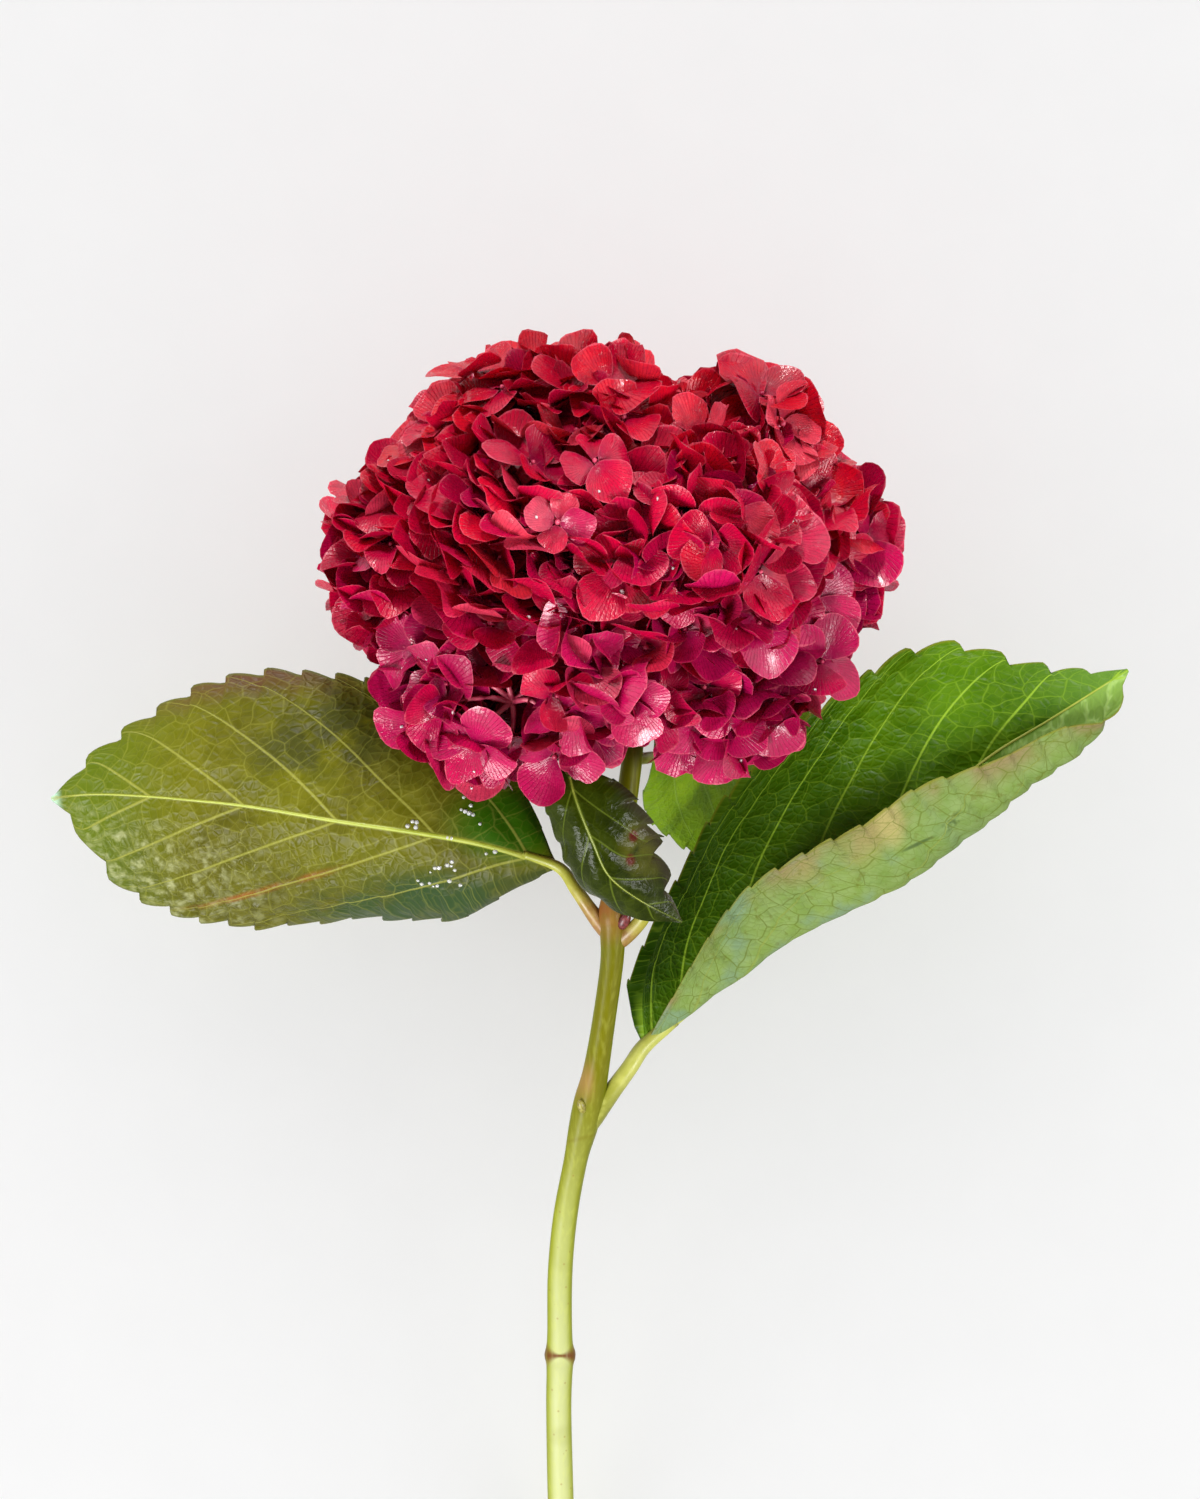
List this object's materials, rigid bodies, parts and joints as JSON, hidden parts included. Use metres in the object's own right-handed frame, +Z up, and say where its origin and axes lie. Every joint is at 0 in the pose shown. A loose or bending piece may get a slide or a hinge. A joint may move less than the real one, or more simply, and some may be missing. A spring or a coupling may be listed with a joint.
{
  "type": "hydrangea cut flower",
  "caption": "Cut mophead hydrangea lying on its side: round crimson bloom of four-sepal florets on a leafy green stem.",
  "frame": {"origin": "the flat spot under the bloom on which the lying flower rests, directly below the middle of the bloom", "axes": "+Y along the stem from its cut end towards the crown of the bloom, +Z up from the surface it lies on, +X to the side where the folded leaf is"},
  "size_m": [0.3269, 0.3951, 0.1593],
  "materials": {
    "petals": "satin, slightly waxy",
    "stem": "smooth green bark, satin",
    "leaf": "satin, veined",
    "leaf_dark": "glossy, veined",
    "bud": "satin"
  },
  "bodies": {
    "root": {"stem": "stem", "leaf_left": "leaf", "leaf_right": "leaf", "leaf_front": "leaf_dark", "leaf_back": "leaf", "bud_upper": "bud", "bud_lower": "bud", "flower_head": "petals"}
  },
  "joints": []
}
